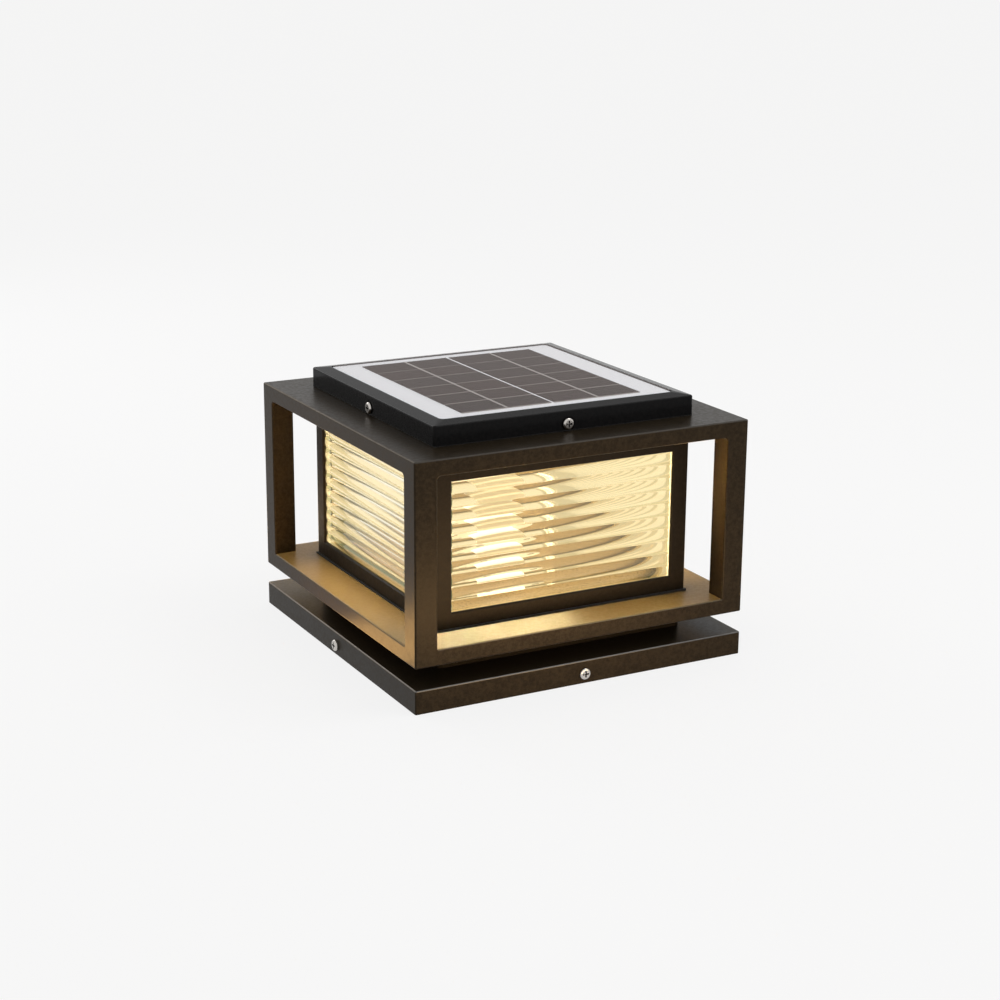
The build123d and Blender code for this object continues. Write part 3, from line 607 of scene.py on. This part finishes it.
def make_world():
    """Pale surroundings, brighter overhead than at eye level and seen as plain paper."""
    world = bpy.data.worlds.new("studio")
    bpy.context.scene.world = world
    world.use_nodes = True
    tree = world.node_tree
    back = tree.nodes["Background"]
    back.inputs["Strength"].default_value = 1.0
    split = tree.nodes.new("ShaderNodeSeparateXYZ")
    tree.links.new(tree.nodes.new("ShaderNodeTexCoord").outputs["Generated"], split.inputs[0])
    path = tree.nodes.new("ShaderNodeLightPath")
    direct, seen = (tree.nodes.new("ShaderNodeMath") for _ in range(2))
    direct.operation = seen.operation = "MAXIMUM"
    tree.links.new(path.outputs["Is Camera Ray"], direct.inputs[0])
    tree.links.new(path.outputs["Is Transmission Ray"], direct.inputs[1])
    tree.links.new(direct.outputs[0], seen.inputs[0])
    tree.links.new(path.outputs["Is Glossy Ray"], seen.inputs[1])
    sky, level = (tree.nodes.new("ShaderNodeMixRGB") for _ in range(2))
    tree.links.new(split.outputs["Z"], sky.inputs["Fac"])
    sky.inputs["Color1"].default_value = (*HORIZON, 1.0)
    sky.inputs["Color2"].default_value = (*ZENITH, 1.0)
    tree.links.new(seen.outputs[0], level.inputs["Fac"])
    tree.links.new(sky.outputs[0], level.inputs["Color1"])
    level.inputs["Color2"].default_value = (PAPER, PAPER, PAPER, 1.0)
    tree.links.new(level.outputs[0], back.inputs["Color"])


def area_light(name, at, target, size, radiance, colour=(1.0, 1.0, 1.0)):
    """Soft light of one brightness at one place, aimed at another."""
    light = bpy.data.lights.new(name, "AREA")
    light.shape = "RECTANGLE"
    light.size, light.size_y = size
    light.energy = radiance * math.pi * size[0] * size[1]
    light.color = colour
    lamp = bpy.data.objects.new(name, light)
    bpy.context.scene.collection.objects.link(lamp)
    lamp.location = at
    lamp.rotation_mode = "QUATERNION"
    lamp.rotation_quaternion = (Vector(target) - Vector(at)).to_track_quat("-Z", "Y")
    return lamp


def gathered(name, starts):
    """Collection of the CAD nodes whose names start in one of some ways."""
    group = bpy.data.collections.new(name)
    for node in nodes:
        if node.startswith(starts):
            group.objects.link(nodes[node])
    return group


def lamp_lights(name, power, colour, lit, screen, radius=LAMP_RADIUS):
    """Lights up the middle of the diffuser that reach one group of nodes and are stopped by another."""
    low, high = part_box("diffuser_tube")
    for step in range(LAMP_STEPS):
        light = bpy.data.lights.new(f"{name}_{step}", "POINT")
        light.energy = power / LAMP_STEPS
        light.color = colour
        light.shadow_soft_size = radius
        light.cycles.use_multiple_importance_sampling = False
        lamp = bpy.data.objects.new(light.name, light)
        bpy.context.scene.collection.objects.link(lamp)
        lamp.location = (0, 0, low.z + (high.z - low.z) * (step + 0.5) / LAMP_STEPS)
        lamp.visible_camera = False
        lamp.visible_transmission = False
        lamp.light_linking.receiver_collection = lit
        lamp.light_linking.blocker_collection = screen


def hidden_glow(name, at, aim, size, radiance, colour, lit, mirrored=True):
    """Area light that is not seen itself and reaches one group of nodes."""
    glow = area_light(name, at, at + Vector(aim), size, radiance, colour)
    glow.visible_camera = False
    glow.visible_transmission = False
    glow.visible_glossy = mirrored
    glow.light_linking.receiver_collection = lit


def make_lamp_light():
    """The lamp's own light: inside it, on its cage, and back from the ground beside it."""
    cage = ("corner_post", "cage_base", "top_frame")
    low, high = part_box("diffuser_tube")
    middle = Vector((0, 0, (low.z + high.z) / 2))
    room = 2 * INSIDE_HALF
    hidden_glow("inside_up", middle, (0, 0, 1), (room, room), UP_GLOW, CREAM,
                gathered("ceiling", ("ceiling_plate",)))
    hidden_glow("inside_down", middle, (0, 0, -1), (room, room), DOWN_GLOW, CREAM,
                gathered("inside_floor", ("floor_reflector", "led_base", "lamp_housing")))
    screen = gathered("shades_lamp", (*cage, "lamp_housing"))
    posts = gathered("posts", ("corner_post", "top_frame"))
    floor = gathered("cage_floor", ("cage_base",))
    lamp_lights("corners", CORNER_POWER, CREAM, gathered("corners", ("pane_retainer",)), screen)
    lamp_lights("posts", POST_POWER, EMBER, posts, screen)
    lamp_lights("spill", SPILL_POWER, EMBER, posts, posts)
    lamp_lights("floor", FLOOR_POWER, GOLD, floor, posts, FLOOR_RADIUS)
    coated = (*cage, "neck", "lamp_housing")
    lit = gathered("lit_by_front", (*coated, "base")), gathered("lit_by_side", coated)
    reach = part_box("base_cover")[1].x
    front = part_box("lamp_housing")[0].y - SILL_GAP
    for turn in range(4):
        side = turn % 2
        spin = Matrix.Rotation(turn * math.pi / 2, 3, "Z")
        out = spin @ Vector((0, -reach - GROUND_GAP[side], GROUND_RISE))
        aim = spin @ Vector((0, GROUND_LEAN[side], 1))
        face = spin @ Vector((0, front, middle.z - SILL_DROP))
        hidden_glow(f"sill_{turn}", face, spin @ Vector(SILL_TILT), SILL_SIZE, SILL_GLOW, WARM, floor,
                    mirrored=False)
        hidden_glow(f"ground_{turn}", out, aim, GROUND_SIZE, GROUND_GLOW[side], GROUND_TINT[side],
                    lit[side])


def make_studio():
    """Floor, surroundings, two soft boxes, one high in front and one low behind, and the lamp's light."""
    make_floor()
    make_world()
    area_light("front_box", FRONT_BOX_AT, SOFTBOX_AIM, FRONT_BOX_SIZE, SOFTBOX)
    area_light("back_box", BACK_BOX_AT, SOFTBOX_AIM, BACK_BOX_SIZE, SOFTBOX)
    make_lamp_light()


def make_camera():
    """Camera of the photograph."""
    azimuth, elevation, roll = (math.radians(v) for v in (CAMERA_AZIMUTH, CAMERA_ELEVATION, CAMERA_ROLL))
    back = Vector((math.sin(azimuth) * math.cos(elevation), -math.cos(azimuth) * math.cos(elevation),
                   math.sin(elevation)))
    right = Vector((math.cos(azimuth), math.sin(azimuth), 0))
    up = back.cross(right)
    tilted = math.cos(roll) * right + math.sin(roll) * up
    upright = math.cos(roll) * up - math.sin(roll) * right
    data = bpy.data.cameras.new("camera")
    data.lens = CAMERA_LENS
    camera = bpy.data.objects.new("camera", data)
    bpy.context.scene.collection.objects.link(camera)
    turn = Matrix((tilted, upright, back)).transposed()
    camera.matrix_world = Matrix.Translation(CAMERA_AT) @ turn.to_4x4()
    bpy.context.scene.camera = camera


def dress_nodes(materials):
    """Gives each CAD node the material of its slot."""
    for part in frame["record"]["subparts"]:
        node = nodes[part["node"]]
        node.data.materials.clear()
        node.data.materials.append(materials[part["material_slot"]].material)


looks = make_materials()
dress_nodes(looks)
finishes = {slot: look.material for slot, look in looks.items()}
make_panes(finishes)
make_beads(finishes)
make_studio()
make_camera()
bpy.context.scene.view_settings.view_transform = "Standard"
